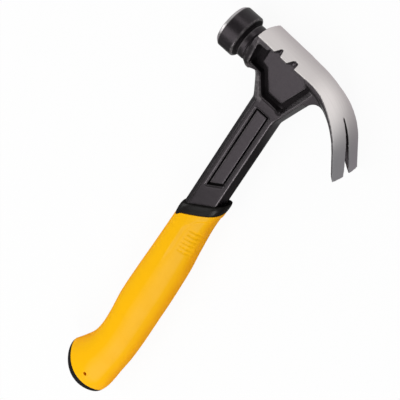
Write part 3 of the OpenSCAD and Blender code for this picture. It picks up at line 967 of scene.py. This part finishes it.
def painted_hollow_shade(at):
    """Painted shade between cheek panel and frame, round the pad in the neck, behind the poll and
    in the crease.
    """
    wall = mix(*POCKET_WALL, ease(*POCKET_WALL_FALLS, at.x + POCKET_WALL_SKEW * at.y))
    pocket = ease(wall, wall - POCKET_WALL_SOFT, at.side) * ease(*POCKET_RIM, at.pocket) \
        * ease(*PANEL_RIM, at.panel) * (at.y < POCKET_TOP) \
        * (1 - ease(*CLAW_BAR_X, at.x) * ease(*CLAW_BAR_Y, at.y))
    trench = ease(*TRENCH_SIDE, at.side) * ease(*RECESS_RIM, at.recess) * ease(*PAD_RIM, at.pad)
    groove = (at.x > GROOVE_X[0]) & (at.x < GROOVE_X[1]) & (at.axis < GROOVE_R)
    crease = CREASE_SHADE * ease(*CREASE_STEP, at.crease)
    return np.maximum.reduce([pocket, trench, groove.astype(float), crease])


# Edge wear and painted highlights: wear on every edge, less of it on the neck's poll side, and
# painted highlight lines on the rims of poll and ring, along the recess and the neck's claw side,
# on the pocket's lip by the flange, the poll-side bar of the frame and the side of the top's lip.
# Pairs are soft steps, and rims and lines have a place and a width.
EDGE_NEAR = (0.9, 0.1)
EDGE_WEAR_AND_HIGHLIGHT = 0.38
POLL_RIM = (-POLL_BACK - 0.4, 0.6)
POLL_RIM_R = 14
RING_RIM = (GROOVE_W - POLL_BACK + 0.5, 0.5)
RIM_HIGHLIGHT = 0.9
NECK_Y = (-24, -28)
RECESS_LEFT = RECESS_X - RECESS_HALF
NECK_LINES = ((RECESS_LEFT - 0.4, 0.7), (RECESS_LEFT + PAD_GAP + 0.3, 0.5), (NECK_FACE_HALF, 0.7))
LINE_HIGHLIGHT = 0.8
# Less edge wear and painted highlight on the neck's poll side
NECK_BACK_X = (-6.5, -7.5)
NECK_BACK_LESS = 0.8
FACE_SIDE = 7.5
POCKET_LIP = (-0.3, 0.5)
POCKET_LIP_X = (-19, -22)
POCKET_LIP_HIGHLIGHT = 0.7
BAR_STARTS = (-0.3, -0.9)
BAR_ENDS = (-5.4, -4.2)
BAR_LOW = (-26, -23)
BAR_HIGH = (-9, -11.5)
BAR_X = -5
BAR_SIDE = 6
BAR_HIGHLIGHT = 0.95
TOP_LIP_SIDE = (12, 13)
TOP_LIP_STARTS = (0.35, 0.6)
TOP_LIP_ENDS = (4.0, 3.4)
TOP_LIP_FROM = -29.5
TOP_LIP_TO = (12, 4)
TOP_LIP_HIGHLIGHT = 0.35


def wear_and_highlights(at, edge):
    """How far the coat is rubbed off along edges, with painted highlight lines added."""
    on_face = at.side > FACE_SIDE
    on_neck = ease(*NECK_Y, at.y)
    lines = sum(hump(at.x - place, wide) for place, wide in NECK_LINES) * on_neck * on_face
    back = NECK_BACK_LESS * on_neck * ease(*NECK_BACK_X, at.x)
    rims = hump(at.x - POLL_RIM[0], POLL_RIM[1]) * (at.axis > POLL_RIM_R) \
        + hump(at.x - RING_RIM[0], RING_RIM[1]) * (at.axis < GROOVE_R)
    pocket_lip = hump(at.pocket - POCKET_LIP[0], POCKET_LIP[1]) * ease(*POCKET_LIP_X, at.x) \
        * on_face
    bar = ease(*BAR_STARTS, at.pocket) * ease(*BAR_ENDS, at.pocket) * ease(*BAR_LOW, at.y) \
        * ease(*BAR_HIGH, at.y) * (at.x < BAR_X) * (at.side > BAR_SIDE)
    top_lip = ease(*TOP_LIP_SIDE, at.side) * ease(*TOP_LIP_STARTS, at.depth) \
        * ease(*TOP_LIP_ENDS, at.depth) * (at.x > TOP_LIP_FROM) * ease(*TOP_LIP_TO, at.x)
    worn_and_highlit = edge * (EDGE_WEAR_AND_HIGHLIGHT * (1 - back) + LINE_HIGHLIGHT * lines) + RIM_HIGHLIGHT * rims \
        + POCKET_LIP_HIGHLIGHT * pocket_lip + BAR_HIGHLIGHT * bar + TOP_LIP_HIGHLIGHT * top_lip
    return np.clip(worn_and_highlit, 0, 1)


# Flat plates with a paler coat: the cheek panel and the pad in the neck
PANEL_PLATE = (-0.2, 0.4)
PAD_PLATE = (-0.1, 0.4)
PLATE_SIDE = 2.5


def finish_fields(at):
    """What the forging's finish reads, point by point."""
    on_top = ease(*GROUND_DEPTH, at.depth) * ease(*GROUND_STARTS, at.x)
    on_face = ease(*FACE_STEP, at.x)
    edge = ease(*EDGE_NEAR, at.to_edge)
    plate = np.maximum(ease(*PANEL_PLATE, at.panel), ease(*PAD_PLATE, at.pad))
    return {
        "ground": np.maximum(on_top, on_face),
        # The striking face takes part of the tips' painted shade
        "along": np.where(on_face > 0, FACE_ALONG, at.along) * MM,
        "edge": edge,
        # Edge wear and painted highlight lines
        "worn_and_highlit": wear_and_highlights(at, edge),
        # Painted shade in the hollows
        "sunk": painted_hollow_shade(at),
        "plate": plate * (at.side > PLATE_SIDE),
    }


def forging():
    """The forging: an even skin over its solid, smoothed by place, worked over and finished."""
    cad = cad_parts["hammer_forging"]
    made = piece("hammer_forging_finished", cad.data.copy(), FORGING_FINISH,
                 "black_coated_steel", "hammer_forging")
    remesh = made.modifiers.new("even_skin", "REMESH")
    remesh.mode = "VOXEL"
    remesh.voxel_size = VOXEL * MM
    settled(made)
    mesh = made.data
    flat = np.empty(len(mesh.vertices) * 3)
    mesh.vertices.foreach_get("co", flat)
    points = drawn(flat.reshape(-1, 3))
    to_edge = nearest(points, sharp_edges(cad.data))
    points = smoothed(points, mesh, smoothing_rounds(points, to_edge))
    points, crease = worked(points, to_edge)
    mesh.vertices.foreach_set("co", laid(points).ravel())
    mesh.update()
    mesh.shade_smooth()
    for name, values in finish_fields(Spots(points, to_edge, crease)).items():
        field = mesh.attributes.new(name, "FLOAT", "POINT")
        field.data.foreach_set("value", values.astype(np.float32))


forging()
collar()
grip_sleeve()
butt_cap()
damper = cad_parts["tang_damper"]
damper.data.materials.clear()
damper.data.materials.append(DAMPER_FINISH)


# Floor, lights and camera

WHITE = (1, 1, 1, 1)
BLACK = (0, 0, 0, 1)
PAPER = (0.86, 0.86, 0.86, 1)
PAPER_SEEN = 0.94
PAPER_MIRRORED = 0.9
FLOOR_HALF = 12.0
ROOM = (0.25, 0.25, 0.25, 1)
ROOM_MIRRORED = 0.10
# Painted light and shade that the paper shows only in reflections, by place, in metres: dim beside
# the handle, brighter from the head on and beyond the claw, with a painted shadow near the claw's
# arc that clears away from it
MIRROR_LOW = 0.03
HEAD_AHEAD = (0.070, 0.100)
HEAD_BRIGHT = 0.39
BEYOND_AHEAD = (0.140, 0.182)
BEYOND_RIGHT = (0.0, 0.03)
BEYOND_BRIGHT = 0.55
BEYOND_LEFT = 0.62
BY_CLAW = 0.55
CLAW_MIDDLE = (0.004, 0.1096)
CLAW_CLEAR = (0.056, 0.072)
# Softboxes: direction from the hammer, distance, width, height, brightness
LAMPS = (
    ("softbox_overhead", (-0.30, -0.12, 0.95), 1.2, 0.9, 0.8, 2.2),
    ("softbox_over_handle", (0.03, -0.62, 0.78), 1.2, 0.5, 0.7, 1.4),
    ("strip_by_claw", (0.57, -0.51, 0.645), 1.1, 0.30, 0.7, 8.0),
    ("strip_by_poll", (-0.92, -0.22, 0.32), 1.1, 0.45, 0.6, 3.4),
    ("softbox_beyond_head", (-0.23, 0.935, 0.27), 1.2, 0.9, 0.35, 2.0),
)
SENSOR = 36
LENS = 165.64
VIEW_END = 100
CAMERA_AT = (282.74, 599.95, 988.74)
CAMERA_RIGHT = (0.7129, 0.4515, -0.5366)
CAMERA_UP = (-0.663, 0.6833, -0.3059)
CAMERA_BACK = (0.2285, 0.5738, 0.7864)


def ray_kinds(start):
    """1 for rays that see the scene straight or through something, and 1 for mirrored rays."""
    straight, through, mirrored = (
        start.node("ShaderNodeLightPath", out=kind)
        for kind in ("Is Camera Ray", "Is Transmission Ray", "Is Glossy Ray"))
    return straight | through, mirrored


def painted_floor_reflection(start):
    """Painted reflection: the paper is dim beside the handle, painted with shadow near the claw and
    brightest beyond it.
    """
    at = start.place()
    right, ahead = start.part(at, 0), start.part(at, 1)
    from_claw = start.joined((right - CLAW_MIDDLE[0]) | 0.0, ahead - CLAW_MIDDLE[1], 0.0)
    off_claw = start.node("ShaderNodeVectorMath", {"operation": "LENGTH"}, {0: from_claw}, 1)
    beyond = ahead.ramp(*BEYOND_AHEAD) * mix(BEYOND_LEFT, 1.0, right.ramp(*BEYOND_RIGHT)) \
        * mix(BY_CLAW, 1.0, off_claw.ramp(*CLAW_CLEAR))
    return MIRROR_LOW + ahead.ramp(*HEAD_AHEAD) * HEAD_BRIGHT + beyond * BEYOND_BRIGHT


def floor_paper():
    """White paper that shows as plain white and is mirrored as painted light and shade, a set of
    pale and dark places.
    """
    paper = bpy.data.materials.new("white_paper")
    paper.use_nodes = True
    tree = paper.node_tree
    tree.nodes.remove(tree.nodes["Principled BSDF"])
    start = Tone(tree)
    seen, mirrored = ray_kinds(start)
    matt = start.node("ShaderNodeBsdfDiffuse", None, {"Color": PAPER})
    white = start.node("ShaderNodeEmission", None, {"Color": WHITE, "Strength": 1.0})
    dark = start.node("ShaderNodeEmission", None, {"Color": BLACK, "Strength": 0.0})
    shade = start.blend(seen * PAPER_SEEN, matt, white)
    # Painted reflection: the paper's pale and dark places, with a painted shadow by the claw
    mirror = start.blend(painted_floor_reflection(start), dark, white)
    start.put(start.blend(mirrored * PAPER_MIRRORED, shade, mirror),
              tree.nodes["Material Output"].inputs["Surface"])
    return paper


def studio_floor():
    mesh = bpy.data.meshes.new("studio_floor")
    corners = [(x * FLOOR_HALF, y * FLOOR_HALF, 0) for x, y in ((-1, -1), (1, -1), (1, 1), (-1, 1))]
    mesh.from_pydata(corners, [], [(0, 1, 2, 3)])
    mesh.materials.append(floor_paper())
    floor = bpy.data.objects.new("studio_floor", mesh)
    bpy.context.scene.collection.objects.link(floor)


def studio_room():
    """Soft grey room light behind a white that only direct rays see in full."""
    world = bpy.data.worlds.new("studio")
    bpy.context.scene.world = world
    world.use_nodes = True
    start = Tone(world.node_tree)
    seen, mirrored = ray_kinds(start)
    room = start.node("ShaderNodeBackground", None, {"Color": ROOM, "Strength": 1.0})
    white = start.node("ShaderNodeBackground", None, {"Color": WHITE, "Strength": 1.0})
    start.put(start.blend(seen | mirrored * ROOM_MIRRORED, room, white),
              world.node_tree.nodes["World Output"].inputs["Surface"])


def studio_lamps():
    for name, way, distance, width, height, bright in LAMPS:
        lamp = bpy.data.lights.new(name, "AREA")
        lamp.shape = "RECTANGLE"
        lamp.size = width
        lamp.size_y = height
        lamp.energy = bright * math.pi * width * height
        stand = bpy.data.objects.new(name, lamp)
        way = Vector(way).normalized()
        stand.location = way * distance
        stand.rotation_euler = way.to_track_quat("Z", "Y").to_euler()
        bpy.context.scene.collection.objects.link(stand)


def studio_camera():
    lens = bpy.data.cameras.new("camera")
    lens.sensor_width = SENSOR
    lens.lens = LENS
    lens.clip_end = VIEW_END
    camera = bpy.data.objects.new("camera", lens)
    turn = Matrix((CAMERA_RIGHT, CAMERA_UP, CAMERA_BACK)).transposed().to_4x4()
    camera.matrix_world = Matrix.Translation(Vector(laid(CAMERA_AT))) @ turn
    bpy.context.scene.collection.objects.link(camera)
    bpy.context.scene.camera = camera


bpy.context.scene.view_settings.view_transform = "Standard"
studio_floor()
studio_room()
studio_lamps()
studio_camera()
